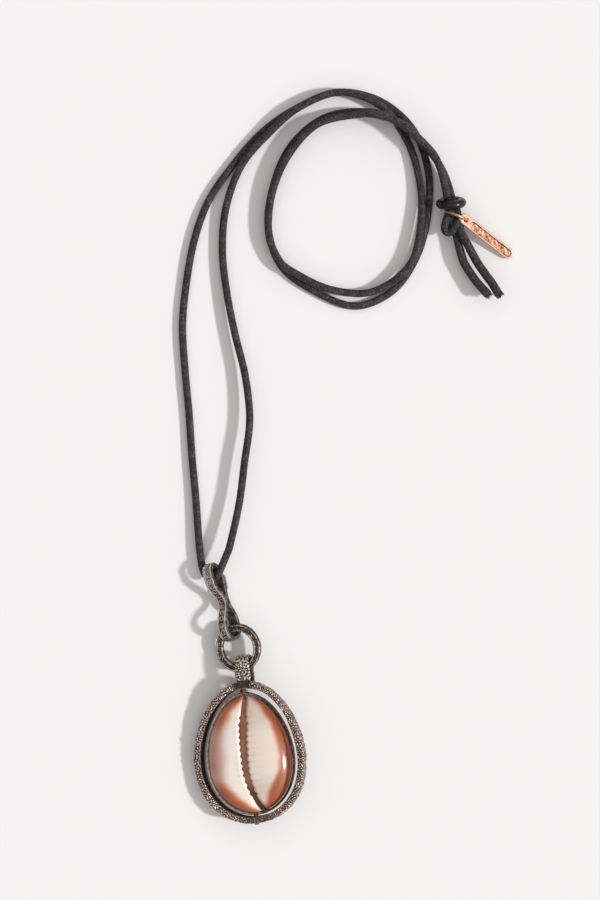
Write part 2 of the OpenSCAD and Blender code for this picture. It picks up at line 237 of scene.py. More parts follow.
def slowField(grid, size, seed):
    # soft lumps about this wide, in mm
    field, waves = noiseWaves(grid, seed)
    field = sieved(field, np.exp(-(waves * size) ** 2))
    return field / np.abs(field).max()


def smooth(low, high, x):
    t = np.clip((x - low) / (high - low), 0, 1)
    return t * t * (3 - 2 * t)


def evenSection(line, step):
    # a counterclockwise outline with its points at even distances, and the normal at each
    section, _ = evenly(np.array(line), step, True)
    ahead = np.roll(section, -1, 0) - np.roll(section, 1, 0)
    return section, unit(np.column_stack([ahead[:, 1], -ahead[:, 0]]))


def roundedSection(x0, x1, z0, z1, radius, step):
    # a rectangle with round corners
    corners = [(x1, z0, -90), (x1, z1, 0), (x0, z1, 90), (x0, z0, 180)]
    line = []
    for x, z, start in corners:
        cx = x - radius if x == x1 else x + radius
        cz = z - radius if z == z1 else z + radius
        for a in np.radians(start + np.linspace(0, 90, 7)):
            line.append((cx + radius * math.cos(a), cz + radius * math.sin(a)))
    return evenSection(line, step)


def sweepBand(path, section, normals, heights, stretch=1.0):
    # a flat closed path in x and y with the section stood on it; heights lift it along its normals
    ahead = unit(np.roll(path, -1, 0) - np.roll(path, 1, 0))
    out = np.column_stack([ahead[:, 1], -ahead[:, 0]])
    x = section[None, :, 0] * stretch + heights * normals[None, :, 0]
    z = section[None, :, 1] + heights * normals[None, :, 1]
    across, along = (path[:, k, None] + out[:, k, None] * x for k in range(2))
    return np.dstack([across, along, z])


def egg(f, taper):
    # an oval as wide and long as the facts say, narrower at its upper end
    x, y = circle(720).T
    return np.column_stack([f["width"] / 2 * (1 - taper * y) * x, f["length"] / 2 * y])


def finishPiece(piece, body, slotName, *nodes):
    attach(piece, body)
    if nodes:
        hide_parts(*nodes)


# camera: straight above, a long lens, turned 6 degrees about its own line of sight
viewFacts = {"middle": (21.28, 61.0), "height": 234.0, "lens": 120.0, "turn": 6.0, "aim": 3.0}
cameraData = bpy.data.cameras.new("viewCamera")
cameraData.lens = viewFacts["lens"]
cameraData.sensor_width = 36
camera = addObject("viewCamera", cameraData)
distance = viewFacts["height"] * viewFacts["lens"] / 36
camera.location = Vector((*viewFacts["middle"], viewFacts["aim"] + distance)) * mm
camera.rotation_euler = (0, 0, -math.radians(viewFacts["turn"]))
cameraData.clip_start, cameraData.clip_end = 0.05, 5
bpy.context.scene.camera = camera
bpy.context.scene.view_settings.view_transform = "Standard"
print("camera placed")


def unevenField(tree, field, amount, noise):
    # a painted field with noise laid over it, so that no edge between two colours is clean
    place = addNode(tree, "TexCoord")
    grain = addNode(tree, "TexNoise", {"Vector": (place, "Object"), **noise})
    shift = addNode(tree, "Math", {0: (grain, "Fac"), 1: 0.5}, operation="SUBTRACT")
    mixed = addNode(tree, "Math", {0: (shift, "Value"), 1: amount, 2: (field, "Fac")},
                    operation="MULTIPLY_ADD")
    return mixed, grain


def waxedCord():
    # braided cotton, dyed black and waxed: matt, with fine grey grain where the wax has rubbed
    material, tree = newMaterial("waxedCotton")
    lay = addNode(tree, "Attribute", attribute_name="lay")
    # the stitches of a 2 mm braid are about 0.4 mm, and the wax has rubbed off in 2 mm patches
    grain = addNode(tree, "TexNoise", {
        "Vector": (lay, "Vector"), "Scale": 2.6, "Detail": 4.0, "Roughness": 0.7})
    rubbed = addNode(tree, "TexNoise", {"Vector": (lay, "Vector"), "Scale": 0.5, "Detail": 2.0})
    patches = addNode(tree, "Math", {0: (rubbed, "Fac"), 1: 0.08}, operation="MULTIPLY")
    mixed = addNode(tree, "Math", {0: (grain, "Fac"), 1: 0.43, 2: (patches, "Value")},
                    operation="MULTIPLY_ADD")
    tint = addNode(tree, "ValToRGB", {"Fac": (mixed, "Value")})
    setRamp(tint, [(0.17, "#0a0909"), (0.25, "#1e1d1d"), (0.34, "#5c5859")])
    bump = addNode(tree, "Bump", {
        "Strength": 0.75, "Distance": 0.14 * mm, "Height": (grain, "Fac")})
    return finishMaterial(material, {
        "Base Color": (tint, "Color"), "Normal": (bump, "Normal"), "Roughness": 0.7,
        "Sheen Weight": 0.05, "Sheen Roughness": 0.6, "Specular IOR Level": 0.3})


def blackRubber():
    # moulded rubber ring: smooth, satin, with a soft white gleam and faint marks 1 mm apart
    material, tree = newMaterial("mouldedRubber")
    place = addNode(tree, "TexCoord")
    marks = addNode(tree, "TexNoise", {
        "Vector": (place, "Object"), "Scale": 0.9 / mm, "Detail": 2.0})
    rough = addNode(tree, "MapRange", {"Value": (marks, "Fac"), "To Min": 0.2, "To Max": 0.32})
    return finishMaterial(material, {"Base Color": linearColor("#09090a"),
                                     "Roughness": (rough, "Result"), "Specular IOR Level": 0.4})


def castSilver(name, hollow, middle, crest, grit, shine=0.3):
    # sterling silver blackened with liver of sulphur, then rubbed: black hollows, pinkish bright
    # crests; grit is in grains to a mm, coarser than the real skin so that it shows
    material, tree = newMaterial(name)
    relief = addNode(tree, "Attribute", attribute_name="relief")
    worn, grain = unevenField(tree, relief, 0.7, {
        "Scale": grit / mm, "Detail": 5.0, "Roughness": 0.65})
    tint = addNode(tree, "ValToRGB", {"Fac": (worn, "Value")})
    setRamp(tint, [(0.15, hollow), (0.5, middle), (0.85, crest)])
    rough = addNode(tree, "MapRange", {
        "Value": (worn, "Value"), "From Min": 0.2, "From Max": 0.9, "To Min": 0.7, "To Max": shine})
    # the black skin is a salt, not a metal: it scatters light where it is thick
    bare = addNode(tree, "MapRange", {
        "Value": (worn, "Value"), "From Min": 0.1, "From Max": 0.7, "To Min": 0.35, "To Max": 1.0})
    bump = addNode(tree, "Bump", {
        "Strength": 0.45, "Distance": 0.06 * mm, "Height": (grain, "Fac")})
    return finishMaterial(material, {
        "Base Color": (tint, "Color"), "Roughness": (rough, "Result"),
        "Metallic": (bare, "Result"), "Normal": (bump, "Normal")})


def cowrieShell():
    # natural enamel, glossy: white left lip, sandy right lip, mauve and chestnut margins, tan
    # between the teeth
    material, tree = newMaterial("cowrieEnamel")
    margin, side, half, stain = (addNode(tree, "Attribute", attribute_name=name)
                                 for name in ("margin", "side", "half", "stain"))
    # the margins fade in clouds about 3 mm wide
    spread, _ = unevenField(tree, margin, 0.25, {"Scale": 0.3 / mm, "Detail": 5.0, "Roughness": 0.6})
    # the three margins: mauve at the left, orange-brown at its ends, rust at the right, brightened
    # at its outer edge by painted light
    mauve, orange, rustAndPaintedLight = (addNode(tree, "ValToRGB", {"Fac": (spread, "Value")})
                           for _ in range(3))
    setRamp(mauve, [(0.2, "#e4c6b8"), (0.44, "#d5ab99"), (0.8, "#be8d7c"), (1.0, "#9a6656")])
    setRamp(orange, [(0.12, "#e6b58c"), (0.28, "#d6905e"), (0.48, "#bd6f48"), (0.75, "#a25c42"),
                     (1.0, "#8b4c3b")])
    # the last stop, brighter than the one before it, is painted light on the right margin's outer
    # edge, which the raised frame shades
    setRamp(rustAndPaintedLight, [(0.12, "#d8aa92"), (0.28, "#bd7c5b"), (0.44, "#a2583a"), (0.62, "#94492b"),
                   (1.0, "#bb6743")])
    # at the right margin's ends, out of the frame's shadow, the colour goes half way to a darker
    # rust, taking that painted light back
    endsOutOfShadow = addNode(tree, "Math", {0: (side, "Fac"), 1: 0.5}, operation="MULTIPLY")
    edge = addNode(tree, "MapRange", {
        "Value": (spread, "Value"), "From Min": -0.06, "From Max": 0.46},
        interpolation_type="SMOOTHSTEP")
    # pin-head specks, about 0.5 mm wide, few and tan, in one of ten cells of 3 mm
    place = addNode(tree, "TexCoord")
    cells = addNode(tree, "TexVoronoi", {"Vector": (place, "Object"), "Scale": 0.33 / mm})
    speck = addNode(tree, "MapRange", {
        "Value": (cells, "Distance"), "From Min": 0.05, "From Max": 0.13,
        "To Min": 0.5, "To Max": 0.0})
    pick = addNode(tree, "SeparateColor", {"Color": (cells, "Color")})
    chosen = addNode(tree, "Math", {0: (pick, "Red"), 1: 0.9}, operation="GREATER_THAN")
    specks = addNode(tree, "Math", {0: (speck, "Result"), 1: (chosen, "Value")},
                     operation="MULTIPLY")
    # each line lays one colour over another; a colour made here goes by its name
    made = {}
    for name, amount, under, over in [
            ("left", (side, "Fac"), (mauve, "Color"), (orange, "Color")),
            ("right", (endsOutOfShadow, "Value"), (rustAndPaintedLight, "Color"), "#8e4a2c"),
            ("margins", (half, "Fac"), "left", "right"),
            ("sand", (side, "Fac"), "#d3c7bb", "#c5b5a7"),
            ("lips", (half, "Fac"), "#f3ebe4", "sand"),
            ("skin", (edge, "Result"), "lips", "margins"),
            ("stained", (stain, "Fac"), "skin", "#bd9158"),
            ("done", (specks, "Value"), "stained", "#a87c58")]:
        under, over = (c if isinstance(c, tuple) else linearColor(c) if c[0] == "#"
                       else (made[c], "Result") for c in (under, over))
        made[name] = addNode(tree, "Mix", {"Factor": amount, "A": under, "B": over},
                             data_type="RGBA")
    # the enamel is very faintly uneven, in lumps drawn 1 mm wide so that they show
    lumps = addNode(tree, "TexNoise", {
        "Vector": (place, "Object"), "Scale": 0.9 / mm, "Detail": 2.0})
    bump = addNode(tree, "Bump", {"Strength": 0.1, "Distance": 0.1 * mm, "Height": (lumps, "Fac")})
    return finishMaterial(material, {
        "Base Color": (made["done"], "Result"), "Normal": (bump, "Normal"), "Roughness": 0.45,
        "Coat Weight": 0.6, "Coat Roughness": 0.18, "Subsurface Weight": 0.08,
        "Subsurface Scale": 0.5 * mm, "Specular IOR Level": 0.25})


def settingResin():
    # brown filler pressed into the shell: flat, slightly grainy, no gloss, darker towards the lower
    # end; its grain is finer than 1 mm and drawn at 1 mm so that it shows
    material, tree = newMaterial("settingResin")
    place = addNode(tree, "TexCoord")
    grain = addNode(tree, "TexNoise", {
        "Vector": (place, "Object"), "Scale": 0.9 / mm, "Detail": 4.0})
    tint = addNode(tree, "ValToRGB", {"Fac": (grain, "Fac")})
    setRamp(tint, [(0.3, "#724a36"), (0.7, "#8a6149")])
    age = addNode(tree, "Attribute", attribute_name="age")
    darkerLow = addNode(tree, "Mix", {
        "Factor": (age, "Fac"), "A": (tint, "Color"), "B": linearColor("#54331c")}, data_type="RGBA")
    rough = addNode(tree, "MapRange", {"Value": (grain, "Fac"), "To Min": 0.6, "To Max": 0.8})
    return finishMaterial(material, {"Base Color": (darkerLow, "Result"), "Roughness": (rough, "Result"),
                                     "Specular IOR Level": 0.25})


def brightCopper():
    # rolled and hammered copper, freshly polished: orange, with brown in the corners; the scale is
    # that of the hammer marks, about 0.9 mm
    material, tree = newMaterial("hammeredCopper")
    relief = addNode(tree, "Attribute", attribute_name="relief")
    worn, grain = unevenField(tree, relief, 0.5, {"Scale": 1.1 / mm, "Detail": 4.0})
    tint = addNode(tree, "ValToRGB", {"Fac": (worn, "Value")})
    setRamp(tint, [(0.05, "#6b4d40"), (0.35, "#bb8a70"), (0.8, "#f5c9ac")])
    rough = addNode(tree, "MapRange", {"Value": (worn, "Value"), "To Min": 0.45, "To Max": 0.24})
    bump = addNode(tree, "Bump", {"Strength": 0.3, "Distance": 0.05 * mm, "Height": (grain, "Fac")})
    return finishMaterial(material, {
        "Base Color": (tint, "Color"), "Roughness": (rough, "Result"), "Metallic": 1.0,
        "Normal": (bump, "Normal")})


cordCotton = waxedCord()
rubber = blackRubber()
bandSilver = castSilver("blackenedSilver", "#1d1815", "#6c5f56", "#dcc5b7", 1.5, 0.25)
strapSilver = castSilver("hammeredSilver", "#2a2420", "#8a7a6f", "#ecd8cb", 1.8, 0.22)
hookSilver = castSilver("engravedSilver", "#2a2522", "#887c73", "#e3d6cc", 1.5, 0.26)
ringSilver = castSilver("bronzedSilver", "#1e1a16", "#675b4f", "#c7b5a4", 1.4)
bezelSilver = castSilver("plainSilver", "#221e1b", "#80726a", "#cdbfb2", 1.4)
shellEnamel = cowrieShell()
resin = settingResin()
copper = brightCopper()
yellowSolder = castSilver("yellowSolder", "#2c1d08", "#6e5220", "#b8954c", 1.5)
print("materials made")


# cord: two strands of one 2 mm waxed cord, from the knot through the hook and back
cordFacts = {"diameter": 2.0, "sides": 20, "step": 0.5, "bight": 38}  # bight: the point at the hook
cordRoute = [
    (67.3, 130, 2.7), (66.75, 133.2, 2.6), (65.75, 136.8, 2.6), (64, 140.6, 2.8),
    (61.5, 144.3, 3.35), (59.9, 146.2, 3.6), (55.2, 150.8, 4.15), (48, 154.2, 3.6),
    (36.9, 154.1, 2.6), (27.3, 147.9, 1.6), (21.5, 138, 1.2), (19, 127, 1), (21.5, 116.6, 1),
    (29.7, 109.2, 1.1), (39.5, 104.5, 1), (49.7, 107.6, 1), (56.9, 116.1, 1), (60.9, 127, 1),
    (62, 138, 1.1), (59, 149, 1.1), (51.2, 157.1, 1), (40.5, 160.4, 1), (29.7, 157.4, 1.1),
    (20.2, 152.2, 1.1), (12.2, 145, 1), (4.4, 136, 1), (-0.5, 126, 1.1), (-3.75, 115, 1),
    (-5.9, 104, 1), (-6.45, 92.5, 1), (-6.6, 81, 1), (-7, 70, 1.1), (-7.15, 58.5, 1.3),
    (-7.5, 47.5, 1.7), (-7.45, 43.3, 1.9), (-7.3, 41.2, 2.1), (-6.9, 39.4, 2.4), (-6.2, 38.3, 2.9),
    (-5.2, 37.8, 3.4), (-4.2, 38, 4), (-3.3, 39, 4.6), (-2.4, 40.4, 5), (-0.6, 43.7, 5),
    (0.5, 46, 4.8), (4, 56.5, 4.3), (6.5, 67, 4), (9, 78, 3.6), (9, 89.5, 3), (7.5, 100.5, 2.5),
    (6.5, 111.5, 2.1), (6.5, 122.5, 1.8), (8.6, 133.5, 1.9), (13.7, 143.9, 2.2), (21.5, 151.3, 2.8),
    (30.4, 157.4, 3.2), (41.4, 160.1, 3.25), (51.6, 155.4, 2.65), (57.5, 145.5, 1.35),
    (59.5, 134.5, 1.7), (58.5, 123.5, 2.6), (54.5, 113.45, 3.1), (44.5, 107.75, 2.2),
    (33.5, 109.4, 2.2), (24, 115.1, 3), (20.6, 119, 3.05), (18.95, 126, 3.05), (21, 136, 3.35),
    (26.2, 145.2, 3.9), (34.5, 152.3, 4.7), (45.5, 153.6, 5.8), (51, 152.6, 6.1),
    (56.5, 149.8, 6.15), (60, 146.1, 5.7), (61.6, 144.2, 5.45), (63.85, 141, 4.95),
    (65.05, 137.3, 4.65), (65.65, 133.6, 4.35), (66, 130, 4.25)]
tailLeftRoute = [
    (66.9, 121.3, 2.7), (67.5, 119.2, 2.6), (68, 116, 2.65), (68.7, 112.7, 2.8), (70.1, 109.7, 3),
    (71.7, 106.9, 3.4), (74.2, 103.4, 4.2)]
tailRightRoute = [
    (68.35, 121.6, 4.1), (69.2, 119.4, 4), (70.5, 116.1, 3.6), (72.1, 112.3, 3.5),
    (73.7, 109.3, 3.75), (75.3, 106.5, 4.1), (76.85, 103, 4.8)]


def tubesPiece(name, tubes):
    # one piece of cord from several tubes, each with its rings and their places in the cord
    points, places, faces, count = [], [], [], 0
    for rings, lay in tubes:
        points.append(rings.reshape(-1, 3))
        places.append(lay.reshape(-1, 3))
        faces += loftFaces(len(rings), rings.shape[1], False, count)
        count += len(points[-1])
    return buildMesh(name, np.vstack(points), faces, cordCotton, {"lay": np.vstack(places)})


def cordPiece(name, path):
    rings, lay = tubeRings(path, cordFacts["diameter"] / 2, cordFacts["sides"])
    # the braid gives and takes a little, never more than the cord's own radius
    uneven = slowField((len(path), cordFacts["sides"], 0.5, 0.3), 0.8, len(name))
    rings += (rings - path[:, None]) * (uneven[..., None] * 0.035 - 0.02)
    return tubesPiece(name, [(rings, lay)])


wholeCord = spline(cordRoute) + originShift
turnAt = cordFacts["bight"] * splineSteps
leftPath, leftReach = evenly(wholeCord[:turnAt + 1][::-1], cordFacts["step"], False)
rightPath, rightReach = evenly(wholeCord[turnAt:], cordFacts["step"], False)
cordLeft = cordPiece("cordLeft", leftPath)
cordRight = cordPiece("cordRight", rightPath)
print("cords made:", round(leftReach[-1], 1), "and", round(rightReach[-1], 1), "mm")

tailFacts = {"step": 0.4, "radius": 0.98, "swell": 0.14, "end": (0.02, 0.03, 0.04, 0.02, -0.1),
             "tufts": 16, "tuftLength": (1.2, 1.9), "tuftSides": 7,
             "tuftRadii": (0.2, 0.2, 0.19, 0.16, 0.12, 0.05)}


def frayedTail(name, route, seed):
    # a cut end whose braid has opened into a few stiff tufts
    f = tailFacts
    rng = np.random.default_rng(seed)
    path, reach = evenly(spline(route) + originShift, f["step"], False)
    path, reach = path[:-1], reach[:-1]
    radius = f["radius"] + f["swell"] * smooth(1, 6, reach)
    radius[-5:] += f["end"]
    tubes = [tubeRings(path, radius, cordFacts["sides"])]
    along = unit(path[-1] - path[-3])
    side = unit(np.cross(along, [0, 0, 1]))
    up = np.cross(side, along)
    for k in range(f["tufts"]):
        angle = rng.uniform(0, 2 * math.pi)
        outward = side * math.cos(angle) + up * math.sin(angle)
        root = path[-1] - along * 0.8 + outward * rng.uniform(0.25, 0.92)
        lean = along + outward * rng.uniform(-0.05, 0.28)
        steps = np.linspace(0, rng.uniform(*f["tuftLength"]), len(f["tuftRadii"]))
        tuft = root + unit(lean) * steps[:, None]
        radii = np.array(f["tuftRadii"]) * rng.uniform(0.8, 1.3)
        rings, lay = tubeRings(tuft, radii, f["tuftSides"])
        tubes.append((rings, lay * 0.3 + [0, 0, reach[-1] + k]))
    return tubesPiece(name, tubes)


tailLeft = frayedTail("tailLeft", tailLeftRoute, 3)
tailRight = frayedTail("tailRight", tailRightRoute, 4)

# knot: the two strands side by side in a short neck, then one turn over the other
knotFacts = {"radius": 0.98, "sides": 18, "step": 0.25}
knotStrands = [
    [(66.25, 129.8, 3.3), (66.15, 127.6, 3.3), (65.9, 125.8, 3.4), (65.25, 124.3, 3.8),
     (64.65, 122.8, 4.1), (64.6, 121.4, 3.9), (65.55, 120.75, 3.9), (66.8, 121.5, 4.4),
     (67.8, 122.9, 4.5), (68.5, 123.4, 3.6), (68.7, 122.7, 3.6), (68.4, 121.3, 4.1)],
    [(67.65, 129.8, 2.9), (67.95, 127.6, 2.9), (68.35, 126, 3.1), (68.25, 124.3, 2.9),
     (67.9, 122.9, 2.3), (67, 121.8, 1.8), (65.6, 121.8, 1.8), (64.9, 122.6, 2.2),
     (65.4, 123.6, 2.5), (66.3, 122.9, 2.8), (66.8, 121.9, 2.8), (66.9, 120.9, 2.7)],
    [(67.05, 129.6, 3), (67.1, 127.4, 3), (66.9, 125.6, 2.9), (66.5, 124.2, 3.1),
     (66.45, 123.2, 3.3), (66.2, 122.2, 3.2), (66.6, 121.4, 2.8)]]


def makeKnot():
    f = knotFacts
    paths = [evenly(spline(strand) + originShift, f["step"], False)[0] for strand in knotStrands]
    return tubesPiece("knotTurns", [tubeRings(path, f["radius"], f["sides"]) for path in paths])


knotTurns = makeKnot()

# slide ring: smooth soft ring that pinches both strands above the knot
slideFacts = {"place": (66.9, 128.4, 3.8), "tilt": (107, 0, -2), "halfWidth": 2.75,
              "halfHeight": 2.6, "radius": 1.2, "steps": 72, "sides": 28}


def makeSlideRing():
    f = slideFacts
    section = circle(f["sides"])
    path = circle(f["steps"]) * [f["halfWidth"], f["halfHeight"]]
    points = sweepBand(path, section * f["radius"], section, np.zeros((f["steps"], f["sides"])))
    return loftPiece("slideRing", standing(points, f), rubber)


slideRing = makeSlideRing()

# tag ring: plain copper wire bent round and closed
tagRingFacts = {"place": (67.86, 124.93, 3.8), "tilt": (90, 0, -29), "radius": 2.85, "wire": 0.4,
                "steps": 120, "sides": 16}


def makeTagRing():
    f = tagRingFacts
    s = np.arange(f["steps"]) * 2 * math.pi / f["steps"]
    path = circle(f["steps"]) * (f["radius"] + 0.04 * np.sin(3 * s + 1))[:, None]  # bent by hand
    section = circle(f["sides"])
    heights = slowField((f["steps"], f["sides"], 0.17, 0.15), 0.6, 5) * 0.03
    points = sweepBand(path, section * f["wire"], section, heights)
    return loftPiece("tagRingWire", standing(points, f), copper, {"relief": 0.45 + heights * 6})


tagRingWire = makeTagRing()

# tag: a rounded strip with a raised rim, a hole at the ring end and a bare, hammered sunk panel
tagFacts = {"place": (70.15, 123.6, 4.1), "tilt": (0, 12.5, -43), "length": 17.6, "start": -0.5,
            "width": 2.8, "thick": 0.9, "rim": 0.45, "hole": 0.62, "panelStart": 2.4,
            "panelDepth": 0.17, "mesh": 0.13, "dents": 300}


def stadiumDistance(x, y, start, end, radius):
    # distance inside the outline, positive within
    return radius - np.hypot(x - np.clip(x, start, end), y)


def makeTag():
    f = tagFacts
    half, start, mesh = f["width"] / 2, f["start"], f["mesh"]
    span = start + f["length"] - f["width"]
    arc = np.radians(np.linspace(90, 270, 25))
    bow = half * np.column_stack([np.cos(arc), np.sin(arc)])
    outline, _ = evenly(np.vstack([[start, 0] + bow, [span, 0] - bow]), 0.16, True)
    hole = circle(30) * f["hole"]
    # staggered points inside the outline and outside the hole, close enough to show the dents
    gx, gy = np.meshgrid(np.arange(start - half, span + half, mesh), np.arange(-half, half, mesh))
    gx = gx + (np.arange(gx.shape[0]) % 2)[:, None] * mesh / 2
    keep = stadiumDistance(gx, gy, start, span, half) > 0.07
    keep &= np.hypot(gx, gy) > f["hole"] + 0.06
    flat = np.vstack([outline, hole, np.column_stack([gx[keep], gy[keep]])])
    nOut, nHole = len(outline), len(hole)
    edges = [(i, (i + 1) % nOut) for i in range(nOut)]
    edges += [(nOut + i, nOut + (i + 1) % nHole) for i in range(nHole)]
    made = geometry.delaunay_2d_cdt([Vector(p) for p in flat], edges, [], 0, 1e-6)
    middles = [np.mean(flat[list(t)], 0) for t in made[2]]
    triangles = [t for t, m in zip(made[2], middles)
                 if np.hypot(*m) > f["hole"] * 0.98 and stadiumDistance(*m, start, span, half) > 0]
    x, y = flat[:, 0], flat[:, 1]
    edge = stadiumDistance(x, y, start, span, half)
    panel = stadiumDistance(x, y, f["panelStart"], span, half - f["rim"])
    # hammer dents, 0.3 to 0.6 mm wide
    rng = np.random.default_rng(9)
    dents = np.zeros(len(x))
    spots = zip(*(rng.uniform(low, high, f["dents"])
                  for low, high in ((-1, span + 1), (-1.3, 1.3), (0.15, 0.32))))
    for cx, cy, size in spots:
        dents -= np.exp(-((x - cx) ** 2 + (y - cy) ** 2) / size ** 2) * rng.uniform(0.2, 1)
    top = f["thick"] / 2 - f["panelDepth"] * smooth(0, 0.14, panel)
    top += 0.035 * dents * smooth(-0.1, 0.2, panel)
    worn = 1 - smooth(0, 0.2, edge)  # the edges and the hole's rim are rounded
    top -= 0.16 * worn + 0.1 * (1 - smooth(0, 0.18, np.hypot(x, y) - f["hole"]))
    low = -f["thick"] / 2 + 0.12 * worn - 0.02 * dents * smooth(0.2, 0.5, edge)
    # the upper face, the same face below, and the walls outside and in the hole
    n = len(flat)
    points = np.vstack([np.column_stack([x, y, top]), np.column_stack([x, y, low])])
    faces = [list(t) for t in triangles] + [[i + n for i in reversed(t)] for t in triangles]
    faces += [[b, a, a + n, b + n] for a, b in edges[:nOut]]
    faces += [[a, b, b + n, a + n] for a, b in edges[nOut:]]
    corner = smooth(0, 0.1, panel) * (1 - smooth(0.1, 0.26, panel))  # brown in the panel's corner
    upper = 0.92 - 0.45 * smooth(-0.05, 0.1, panel) + dents * 0.25 - 0.3 * corner
    return buildMesh("tagPlate", standing(points, f), faces, copper,
                     {"relief": np.concatenate([upper, 0.6 + dents * 0.1])})


tagPlate = makeTag()

for piece, node in [(cordLeft, "cord_left"), (cordRight, "cord_right"), (tailLeft, "tail_left"),
                    (tailRight, "tail_right"), (knotTurns, "knot")]:
    finishPiece(piece, "necklace", "waxed_cord", node)
finishPiece(slideRing, "necklace", "black_rubber", "slide_ring")
finishPiece(tagRingWire, "necklace", "copper", "tag_ring")
finishPiece(tagPlate, "necklace", "copper", "tag")
print("knot, slide ring and tag made")


# frame: egg-shaped cast band with raised worms on its top, outer and lower faces
bandFacts = {"length": 36.8, "width": 29.6, "turn": -3.5, "wall": 1.7, "side": 0.3, "thinner": 0.35,
             "depth": 3.1, "corner": 0.36, "relief": 0.3, "period": 0.62, "step": 0.1, "seed": 11}


def makeBand():
    f = bandFacts
    path, _ = evenly(egg(f, frameTaper), f["step"], True)
    half = f["depth"] / 2
    section, normals = roundedSection(-f["wall"], 0, -half, half, f["corner"], f["step"])
    grid, seed = (len(path), len(section), f["step"], f["step"]), f["seed"]
    around = np.arctan2(path[:, 1] / f["length"], path[:, 0] / f["width"])[:, None]
    sideways = np.cos(around)
    # the wall is thick at the left, and thinnest at the upper right, where the lit paper shows
    # past the bezel
    thicker = f["side"] * sideways * np.abs(sideways) * np.where(sideways > 0, -0.2, -1)
    thinner = f["thinner"] * smooth(0.25, 0.75, around) * smooth(1.5, 1.1, around)
    stretch = 1 + (thicker - thinner) / f["wall"]
    worms = wormField(grid, f["period"], seed, 3)
    fine = wormField(grid, f["period"] * 0.55, seed + 1, 2)
    uneven = slowField(grid, 2.4, seed + 2)
    lumps = slowField(grid, 0.8, seed + 3)
    patches = slowField(grid, 1.6, seed + 5)
    # broken worms and grains stand on a dull ground, thicker in some stretches
    ground = 0.3 + 0.16 * smooth(-0.5, 0.5, fine)
    raised = ground + (1 - ground) * smooth(0.0, 0.5, worms * 0.75 + fine * 0.3 + patches * 0.4)
    # worn nearly flat on both sides of the lower pin, where the band was filed
    filed = smooth(-1.32, -1.42, around) * smooth(-1.7, -1.6, around)
    filed = filed + smooth(-1.52, -1.44, around) * smooth(-1.1, -1.2, around)
    raised = raised + (0.42 - raised) * 0.7 * np.clip(filed, 0, 1)
    # smooth under the strap, where the solder ran, and painted dark there: painted shade under the
    # strap
    solderedAndShaded = smooth(1.44, 1.52, around) * smooth(1.84, 1.74, around)
    raised = raised + (0.16 - raised) * 0.75 * solderedAndShaded
    # the inner wall and a narrow line along its upper edge are plain
    inner = smooth(-f["wall"] + 0.26, -f["wall"] + 0.1, section[:, 0])
    plain = np.clip(smooth(-0.1, -0.75, normals[:, 0]) + inner, 0, 1)
    pits = smooth(0.22, 0.5, slowField(grid, 0.32, seed + 4))
    heights = raised * f["relief"] - 0.14 - 0.12 * pits + uneven * 0.16 + lumps * 0.14
    heights = heights * (1 - plain)
    heights = heights * (1 - 0.7 * smooth(0, -0.5, normals[:, 1]))  # flatter underneath
    band = turned(sweepBand(path, section, normals, heights, stretch), (0, 0, f["turn"]))
    # the last factor is painted light and shade: the band is painted darker at its right, towards
    # the key light, and lighter at its left
    relief = raised * (1 - plain) * (1 - 0.85 * pits) * (1 + 0.35 * lumps) * (1 - 0.13 * sideways)
    relief = relief + plain * 0.3 + 0.32 * ((plain > 0.5) & (normals[:, 1] > 0.25))
    return loftPiece("castBand", inPendant(band, frameRoll), bandSilver,
                     {"relief": np.clip(relief, 0, 1)})


# strap loop: one strap bent to a flat loop and soldered to the band, hammered on its face
strapFacts = {"width": 3.7, "shift": 0.7, "thick": 0.8, "root": 17.0, "reach": 24.9, "height": 1.15,
              "drop": 4.7, "corner": 1.1, "step": 0.12}


def makeStrap():
    f = strapFacts
    end, corner = f["reach"] - f["thick"] / 2, f["corner"]
    arc = np.radians(np.linspace(0, 90, 10))
    bend = corner * np.column_stack([np.sin(arc), -np.cos(arc)])
    line = np.vstack([[(f["root"], -f["drop"])], bend + [end - corner, corner - f["drop"]],
                      bend[::-1] * [1, -1] + [end - corner, f["height"] - corner],
                      [(f["root"], f["height"])]])
    path, _ = evenly(line, f["step"], False)
    ahead = unit(np.gradient(path, axis=0))
    out = np.column_stack([ahead[:, 1], -ahead[:, 0]])  # away from the inside of the loop
    thick, wide = f["thick"] / 2, f["width"] / 2
    section, normals = roundedSection(-thick, thick, -wide, wide, 0.3, f["step"])
    grid = (len(path), len(section), f["step"], f["step"])
    beads, fine = wormField(grid, 0.7, 21, 1), wormField(grid, 0.42, 22, 2)
    lumps = slowField(grid, 0.7, 23)
    pits = smooth(0.2, 0.5, slowField(grid, 0.36, 24))
    raised = 0.25 + 0.75 * smooth(-0.2, 0.45, beads * 0.7 + fine * 0.3 + lumps * 0.5)
    raised = raised * (1 - 0.7 * pits)
    face = smooth(0.1, 0.7, normals[:, 0])
    dome = 0.1 * (1 - (section[:, 1] / wide) ** 2) * face
    jointAndShade = smooth(19.2, 18.4, path[:, 0, None])  # smooth where it is soldered, and painted black there: painted shade where the strap meets the band
    heights = (raised * 0.2 * (1 - jointAndShade) + lumps * 0.12) * face + dome - 0.06
    thickness = section[None, :, 0] + heights * normals[None, :, 0]
    width = section[None, :, 1] + heights * normals[None, :, 1]
    width = width * (1 - 0.12 * smooth(end - 1.6, end, path[:, 0, None]))  # narrower at its end
    along, upward = (path[:, k, None] + out[:, k, None] * thickness for k in range(2))
    points = np.dstack([width + f["shift"], along, upward])
    # the dark at the root is painted shade
    relief = (raised * face * 0.9 + (1 - face) * 0.25) * (1 - 0.8 * jointAndShade) + lumps * 0.15 * jointAndShade
    return loftPiece("strapLoop", inPendant(points, strapRoll), strapSilver,
                     {"relief": relief}, False)


